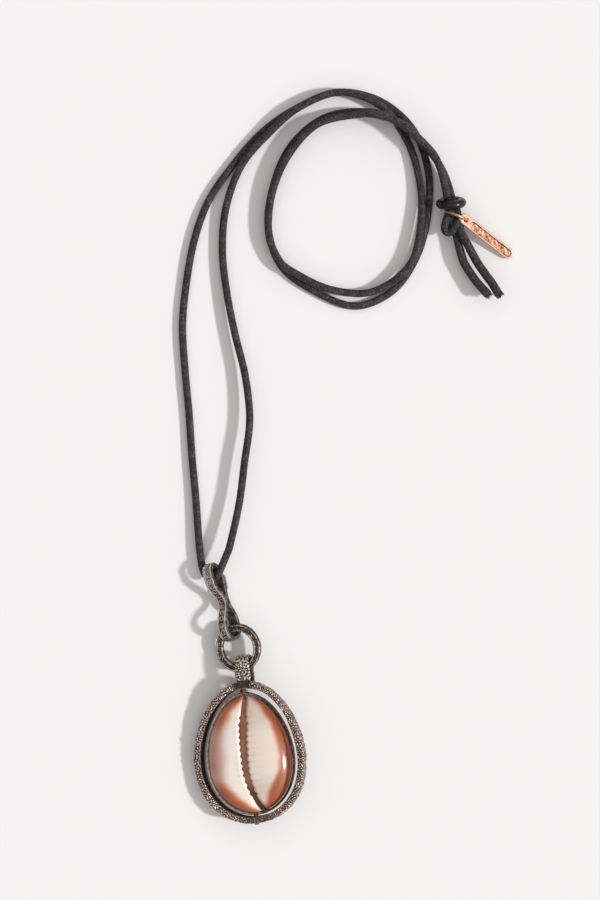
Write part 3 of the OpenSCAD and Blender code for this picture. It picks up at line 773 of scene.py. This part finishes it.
finishPiece(makeBand(), "necklace", "oxidised_silver", "frame")
finishPiece(makeStrap(), "necklace", "oxidised_silver", "frame")
print("frame made")


# setting: plain bezel with a burnished rim, and its two pivot pins
bezelFacts = {"length": 31.8, "width": 23.0, "depth": 2.0, "sink": 0.7,
              "rowStep": 0.2, "colStep": 0.06}


def makeBezel():
    f = bezelFacts
    path, _ = evenly(egg(f, settingTaper), f["rowStep"], True)
    half = f["depth"] / 2
    # the wall's section: outside, burnished rim, the lip pressed over the shell, inside
    line = [(0, -half + 0.1), (0, 0), (0.01, half - 0.3), (-0.04, half - 0.08), (-0.15, half),
            (-0.28, half - 0.03), (-0.36, half - 0.1), (-0.44, half - 0.11), (-0.52, half - 0.06),
            (-0.58, half - 0.11), (-0.61, half - 0.28), (-0.59, half - 0.45), (-0.55, half - 0.52),
            (-0.55, 0), (-0.55, -half + 0.08), (-0.48, -half), (-0.1, -half)]
    section, normals = evenSection(line, f["colStep"])
    grid = (len(path), len(section), f["rowStep"], f["colStep"])
    uneven, nicks = slowField(grid, 1.2, 31), slowField(grid, 0.5, 32)
    top = smooth(0.2, 0.7, normals[:, 1])
    heights = uneven * 0.045 + nicks * top * 0.03
    points = sweepBand(path, section, normals, heights) + [0, settingShift, -f["sink"]]
    rim = top * smooth(-0.32, -0.26, section[:, 0]) * smooth(half - 0.4, half - 0.1, section[:, 1])
    inner = top * smooth(-0.45, -0.52, section[:, 0]) * smooth(half - 0.4, half - 0.2, section[:, 1])
    relief = 0.2 + 0.3 * top + 0.2 * rim + 0.2 * inner + uneven * 0.2 + nicks * 0.3 * top
    # painted light and shade: brighter at the left, darker at the right, where the raised frame
    # shades the rim
    sideways = path[:, 0, None] / f["width"] * 2
    relief = relief - top * (0.3 * smooth(-0.2, 0.6, sideways) - 0.18 * smooth(0, -0.7, sideways))
    return loftPiece("bezelRim", inPendant(points, settingRoll), bezelSilver, {"relief": relief})


# two pivot pins, and a bead of yellow solder on the upper one outside the bezel: each has a list
# of places along the swivel axis and the radius there
pinSides = 24
pinForms = {
    "pivotPinTop": [(15.05, 0.6), (17.3, 0.6), (17.4, 0.56), (17.47, 0.45), (17.5, 0.25)],
    "pivotPinLow": [(-15.95, 0.6), (-18.7, 0.6), (-18.8, 0.57), (-18.84, 0.48), (-18.85, 0.3)],
    "solderBead": [(15.6, 0.5), (15.66, 0.66), (15.8, 0.78), (16, 0.83), (16.2, 0.78),
                   (16.34, 0.66), (16.4, 0.5)]}


def turnedPart(name, material, shine):
    line, around = pinForms[name], circle(pinSides)
    rings = np.array([np.insert(r * around, 1, y, axis=1) for y, r in line])
    return loftPiece(name, inPendant(rings, settingRoll), material,
                     {"relief": np.full(rings.shape[:2], shine)}, False)


for piece in (makeBezel(), turnedPart("pivotPinTop", bezelSilver, 0.4),
              turnedPart("pivotPinLow", bezelSilver, 0.5),
              turnedPart("solderBead", yellowSolder, 0.5)):
    finishPiece(piece, "setting", "plain_silver", "bezel")


# shell: toothed base up, with rolled lips, and a plain glossy back
shellFacts = {"length": 30.4, "width": 21.7, "base": 4.4, "back": 5.6, "slit": 0.82, "teeth": 12,
              "toothSpan": 19.8, "toothMiddle": -0.15, "lipRadius": 0.85, "rows": 640,
              "marginStart": (-2.3, -0.8), "marginWidth": (5.9, 4)}
# where the brown margins begin, seen from above: place along the shell, then across it, in mm
leftMargin = [(-15.2, 0.3), (-12, -3.9), (-8.2, -7), (-6.6, -8), (-2, -7.3), (3.1, -7.3),
              (6.3, -6.7), (10.9, -4.7), (12.7, -2.5), (14, -0.3)]
rightMargin = [(-13.9, 2.4), (-10.1, 3.8), (-8.4, 4.6), (-7.1, 5.6), (-4.7, 6.8), (-1.3, 7.4),
               (2.8, 6.9), (7.5, 5.9), (9.4, 4.6), (12, 3.6), (14.2, 1.9)]
# the slit's width along the shell, from its lower end (-1) to its upper end (1)
slitWidths = [(-0.85, -0.7, -0.1, 0.15, 0.4, 0.56), (0.95, 0.62, 0.68, 0.82, 0.87, 1.1)]


def slitMiddle(n):
    return -0.95 + 1.2 * np.maximum(0, n + 0.1) ** 2 + 4.75 * np.maximum(0, -n - 0.15) ** 2


def shellForm(rows):
    # at each station: place, half width, height of the base, depth of the back, and the slit's
    # middle and half width
    f = shellFacts
    n = np.sin(np.linspace(-1, 1, rows) * math.pi / 2 * 0.985)  # closer together at both ends
    swell = np.sqrt(1 - n * n)
    w = f["width"] / 2 * swell * (1 - settingTaper * n)
    gap = f["slit"] * np.minimum(1, w / np.where(n > 0, 2.3, 4)) * np.interp(n, *slitWidths)
    gap = gap * np.where(n > 0.5, np.maximum(0.64, 2.5 - 3 * n), 1)
    top, low = f["base"] * swell ** 0.8, f["back"] * swell ** 0.6
    return n, w, top, low, slitMiddle(n) * np.minimum(1, w / 3), gap


def crown(px, width, height):
    return height * np.sqrt(np.maximum(0, 1 - (px / width) ** 2))


def makeShell():
    f = shellFacts
    rows = f["rows"]
    n, w, top, low, x0, gap = shellForm(rows)
    y = n * f["length"] / 2 + settingShift
    small = np.minimum(1, w / 5)
    # teeth: sharp notches between them on the left lip, low round ones on the right
    pitch = f["toothSpan"] / f["teeth"]
    phase = (y - settingShift - f["toothMiddle"] + f["toothSpan"] / 2) / pitch
    ends = smooth(-0.6, -0.1, phase) * smooth(f["teeth"] + 0.6, f["teeth"] + 0.1, phase)
    rng = np.random.default_rng(8)
    spots = np.arange(-4, f["teeth"] + 5)
    jitter = np.interp(phase, spots, rng.uniform(-0.09, 0.09, len(spots)))
    strength = np.interp(phase, spots, rng.uniform(0.75, 1.1, len(spots)))
    wave = np.abs(((phase + 0.5 + jitter) % 1) - 0.5) * 2  # 0 in a notch, 1 on a tooth
    sharp = 1 - (1 - wave ** 0.75) * ends * strength
    other = np.interp(phase, spots, rng.uniform(0.5, 1.1, len(spots)))
    blunt = 1 - (0.5 + 0.5 * np.cos(2 * math.pi * (phase + jitter - 0.1))) ** 1.5 * ends * other
    r = f["lipRadius"] * small
    columns, margins, sides, halves, stains = [], [], [], [], []
    turn = math.radians(settingRoll)
    leftStart, rightStart = (np.interp(y, *np.array(edge).T) for edge in (leftMargin, rightMargin))

    def addColumn(px, pz, stain, onLeft):
        columns.append(np.column_stack([px, y, pz]))
        seen = px * math.cos(turn) - pz * math.sin(turn)
        beyond = leftStart - seen if onLeft else seen - rightStart
        place = 0 if onLeft else 1
        amount = np.clip((beyond - f["marginStart"][place]) / f["marginWidth"][place], 0, 1)
        margins.append(np.where(pz < -0.1, np.maximum(amount, 0.85), amount))
        sides.append(smooth(4, 9.5, y) + smooth(-5, -9.5, y))
        # under the shell the two margins blend across its back
        halves.append(np.where(pz < -0.1, smooth(-0.9, 0.9, px / w), 0.0 if onLeft else 1.0))
        stains.append(np.clip(stain, 0, 1))

    lipSteps = np.radians(np.arange(18, 91, 18))
    nothing = np.zeros(rows)
    # the left half, from inside the slit over the lip to the left margin
    edge = x0 - gap
    crest = crown(edge - r, w, top)
    cut = small * (0.55 * sharp - 0.5)
    groove = (1 - sharp) * 0.12 * small
    for depth in (1.5, 0.75, 0.0):
        addColumn(edge + cut, crest - r - depth, 0.25 + 0.4 * (1 - sharp), True)
    for a in lipSteps:
        weight = math.cos(a) * 0.85 + 0.15  # teeth end below the lip's crest
        # near the upper end the lip is tan: partly its own yellowish stain, partly painted shade
        # that dims the crest facing the key light
        tanAndShade = (0.1 + 0.8 * (1 - sharp)) * (0.7 * math.cos(a) + 0.12) + 0.4 * smooth(9.5, 12.5, y)
        lip = crest - r + r * math.sin(a) - groove
        addColumn(edge - r + r * math.cos(a) + cut * weight, lip, tanAndShade, True)
    start = edge - r
    outward = (0.05, 0.1, 0.16, 0.23, 0.31, 0.4, 0.5, 0.6, 0.7, 0.79, 0.87, 0.93, 0.97, 0.99)
    for t in outward:
        px = start - (w + start) * t
        fade = math.exp(-(t / 0.16) ** 2)
        addColumn(px, crown(px, w, top) - groove * fade, (0.06 + 0.3 * (1 - sharp)) * fade, True)
    for a in np.radians(np.arange(180, 271, 7.5)):
        addColumn(w * math.cos(a), low * math.sin(a), nothing, True)
    for a in np.radians(np.arange(277.5, 361, 7.5)):
        addColumn(w * math.cos(a), low * math.sin(a), nothing, False)
    # the right half, from its margin to the slit
    edge = x0 + gap
    crest = crown(edge + r, w, top)
    start = edge + r
    groove = (1 - blunt) * 0.05 * small
    for t in outward[::-1]:
        px = start + (w - start) * t
        fade = math.exp(-(t / 0.17) ** 2)
        # a tan streak near the upper end and, below it, tan round the first tooth, an oval nugget
        slant = y - 10.9 + 0.5 * (px - 1.2)
        streak = 0.55 * np.exp(-(slant / 0.55) ** 2 - ((px - 1.5) / 0.8) ** 2)
        nugget = np.hypot((px - 1.55) / 1.15, (y - 8.85) / 0.95)
        streak = streak + 0.3 * np.exp(-((nugget - 1.05) / 0.25) ** 2) * smooth(2.3, 1.3, px)
        addColumn(px, crown(px, w, top) - groove * fade + 0.08 * smooth(1, 0.5, nugget),
                  (1 - blunt) ** 2 * 0.5 * fade + streak, False)
    cut = small * (0.38 * blunt - 0.33)
    for a in lipSteps[::-1]:
        weight = math.cos(a) * 0.85 + 0.15
        lip = crest - r + r * math.sin(a) - groove
        addColumn(edge + r - r * math.cos(a) - cut * weight, lip,
                  (1 - blunt) * (0.45 * math.cos(a) + 0.3) + 0.3 * math.cos(a), False)
    for depth in (0.0, 0.75, 1.5):
        addColumn(edge - cut, crest - r - depth, 0.3 + 0.3 * (1 - blunt), False)
    # the inside of the wall, out of sight
    left = x0 - gap
    for px, pz in ((edge + 0.3 * (w - 1.2 - edge), top * 0.5), (w - 1.3, nothing),
                   (nothing, -low + 1.3), (1.3 - w, nothing),
                   (left - 0.3 * (w - 1.2 + left), top * 0.5)):
        addColumn(px * np.minimum(1, w / 4), pz, nothing, False)
    fields = {"margin": margins, "side": sides, "half": halves, "stain": stains}
    return loftPiece("cowrie", inPendant(np.stack(columns, 1), settingRoll), shellEnamel,
                     {key: np.stack(value, 1) for key, value in fields.items()}, False)


fillerFacts = {"rows": 260, "wall": 1.9, "endGap": 0.12, "sink": 0.34, "under": 0.45}


def makeFiller():
    # resin: it fills the shell and comes up nearly flush between the lips, flat on top
    f = fillerFacts
    n, w, top, low, x0, gap = shellForm(f["rows"])
    y = n * (shellFacts["length"] / 2 - f["endGap"]) + settingShift
    inside, r = np.maximum(w - f["wall"], 0.05), shellFacts["lipRadius"] * np.minimum(1, w / 5)
    half = gap + f["under"] * np.minimum(1, w / 5)
    level = np.minimum(crown(x0 - gap - r, w, top), crown(x0 + gap + r, w, top))
    level = level - f["sink"] * np.minimum(1, w / 4)
    deep = np.minimum(level - 0.3, top - 2.2)
    columns = [(x0 + half, deep), (x0 + half, level - 0.06), (x0 + half * 0.5, level),
               (x0, level + 0.01), (x0 - half * 0.5, level), (x0 - half, level - 0.06),
               (x0 - half, deep)]
    for a in np.radians(np.arange(180, 361, 20)):
        columns.append((inside * math.cos(a), (low - 1.7).clip(0.1) * math.sin(a)))
    points = np.stack([np.column_stack([px, y, np.minimum(pz, level)]) for px, pz in columns], 1)
    points[..., 2] += slowField((f["rows"], len(columns), 0.12, 0.4), 0.6, 61) * 0.03
    dark = np.repeat(smooth(-6, -11, y)[:, None], len(columns), 1)
    return loftPiece("slitFiller", inPendant(points, settingRoll), resin, {"age": dark}, False)


finishPiece(makeShell(), "setting", "cowrie_shell", "shell")
finishPiece(makeFiller(), "setting", "brown_filler", "packing")
print("setting and shell made")


# link ring: oval, with a sunk engraved channel between two raised edges
ringFacts = {"place": (-0.1, 19.2, 3.3), "tilt": (5, -11, 0), "length": 12.6, "width": 11.7,
             "wall": 1.8, "depth": 1.9, "channel": 0.2, "rowStep": 0.11, "colStep": 0.08}


def makeRing():
    f = ringFacts
    path, _ = evenly(circle(360) * [f["width"] / 2, f["length"] / 2], f["rowStep"], True)
    half = f["depth"] / 2
    section, normals = roundedSection(-f["wall"], 0, -half, half, 0.22, f["colStep"])
    grid = (len(path), len(section), f["rowStep"], f["colStep"])
    across = np.abs(section[:, 0] + f["wall"] / 2)
    top = smooth(0.5, 0.9, normals[:, 1])
    trough = smooth(0.52, 0.38, across) * top
    worms = smooth(-0.2, 0.5, wormField(grid, 0.6, 41, 3))
    uneven, patches = slowField(grid, 1.2, 42), slowField(grid, 0.5, 43)
    heights = trough * (-f["channel"] + 0.14 * worms) + uneven * 0.07
    relief = np.where(trough > 0.3, 0.16 + worms * 0.38, 0.22 + 0.5 * top)
    relief = relief + uneven * 0.35 + patches * 0.25
    points = sweepBand(path, section, normals, heights)
    return loftPiece("engravedRing", standing(points, f), ringSilver, {"relief": relief})


# hook: one strip bent to two loops and pinched between them, engraved on its outer face
hookFacts = {"place": (-5.2, 41.9, 3.75), "tilt": (-58, 0, -79), "width": 2.7, "thick": 1.0,
             "channel": 0.18, "oval": 1.75, "rowStep": 0.1, "colStep": 0.08}
hookRoute = [(0.5, 0.3), (1, 1.4), (2.4, 2.2), (4.2, 2.4), (6, 2.1), (7.6, 1.1), (9, 0.1),
             (10.6, -0.25), (12.2, 0.1), (13.6, 1.1), (15.2, 2.3), (17, 3.1), (18.7, 3), (20, 1.9),
             (20.5, 0.2), (20.1, -1.4), (18.7, -2.5), (16.9, -2.9), (15, -2.8), (13.4, -2.2),
             (12, -1.6), (10.4, -1.4), (8.6, -1.5), (6.6, -1.8), (4.6, -2.1), (2.6, -1.9), (1.2, -1)]


def makeHook():
    f = hookFacts
    path, reach = evenly(spline([(a, -b) for a, b in hookRoute], True), f["rowStep"], True)
    half, wide = f["thick"] / 2, f["width"] / 2
    section, normals = roundedSection(-half, half, -wide, wide, 0.16, f["colStep"])
    grid = (len(path), len(section), f["rowStep"], f["colStep"])
    along, across = path[:, 0, None], path[:, 1, None]
    face = smooth(0.5, 0.9, normals[:, 0])
    trough = smooth(wide - 0.46, wide - 0.6, np.abs(section[:, 1])) * face
    # a chain of small ovals runs along the strip between its edges
    step = reach[-1] / round(reach[-1] / f["oval"])
    u = (reach[:, None] % step) / step - 0.5
    v = section[None, :, 1] / (wide - 0.52)
    links = smooth(0.26, 0.1, np.abs(np.hypot(u * 2.3, v * 1.15) - 0.72))
    dots = smooth(0.34, 0.15, np.hypot(u * 2.3, v * 1.2))
    curls = smooth(-0.2, 0.5, wormField(grid, 0.6, 51, 5))
    grains = smooth(0.0, 0.5, wormField(grid, 0.5, 54, 2))
    # the upper loop is granular instead
    upper = smooth(7.5, 5.5, along)
    raised = np.clip(np.maximum(links, dots * 0.8) * 0.8 + curls * 0.25, 0, 1) * (1 - upper)
    raised = raised + (0.35 + 0.8 * grains) * upper
    uneven, bumps = slowField(grid, 1.5, 52), slowField(grid, 0.45, 53)
    heights = trough * (-f["channel"] + 0.17 * raised) + uneven * 0.08 + bumps * 0.07 * face
    # the end of the strip laps over the back leg
    lap = smooth(3.9, 4.2, along) * smooth(8.2, 7.4, along) * smooth(1, 1.4, across)
    heights = heights + 0.45 * face * lap
    relief = np.where(trough > 0.3, 0.14 + raised * 0.66, 0.24 + 0.74 * face)
    relief = relief + uneven * 0.25 + bumps * 0.3 * face
    points = sweepBand(path, section, normals, heights)
    return loftPiece("engravedHook", standing(points, f), hookSilver, {"relief": relief})


finishPiece(makeRing(), "necklace", "bronzed_silver", "link_ring")
finishPiece(makeHook(), "necklace", "oxidised_silver", "hook")
print("link ring and hook made")


# pale surface and light: a hard-edged key from the right, low, and a soft white room
floorMesh = bpy.data.meshes.new("paleSurface")
floorMesh.from_pydata([(-3, -3, 0), (3, -3, 0), (3, 3, 0), (-3, 3, 0)], [], [(0, 1, 2, 3)])
floor = addObject("paleSurface", floorMesh)
floor.location.z = -0.00002
paper, _ = newMaterial("mattPaper")  # uncoated white paper: no gloss at all
finishMaterial(paper, {"Base Color": linearColor("#e5e3e4"), "Roughness": 0.9})
floorMesh.materials.append(paper)

lightFacts = {"towards": (0.968, -0.2506, 0.8156), "strength": 2.55, "spread": 5.0}
sun = bpy.data.lights.new("keyLight", "SUN")
sun.energy = lightFacts["strength"]
sun.angle = math.radians(lightFacts["spread"])
sun.color = (0.99, 1.0, 1.0)
key = addObject("keyLight", sun)
key.rotation_euler = Vector(lightFacts["towards"]).to_track_quat("Z", "Y").to_euler()

room = bpy.data.worlds.new("whiteRoom")
room.use_nodes = True
roomTree = room.node_tree
roomTree.nodes.clear()
direction = addNode(roomTree, "TexCoord")
parts = addNode(roomTree, "SeparateXYZ", {"Vector": (direction, "Generated")})
# brightest above and towards the light
lean = addNode(roomTree, "Math", {0: (parts, "X"), 1: 0.3, 2: (parts, "Z")},
               operation="MULTIPLY_ADD")
glow = addNode(roomTree, "MapRange", {
    "Value": (lean, "Value"), "From Min": -0.2, "From Max": 1.1, "To Min": 0.16, "To Max": 0.88},
    interpolation_type="SMOOTHSTEP")
sky = addNode(roomTree, "Background", {
    "Color": (1.0, 0.975, 0.97, 1), "Strength": (glow, "Result")})
addNode(roomTree, "OutputWorld", {"Surface": (sky, "Background")})
bpy.context.scene.world = room
print("floor and light made")
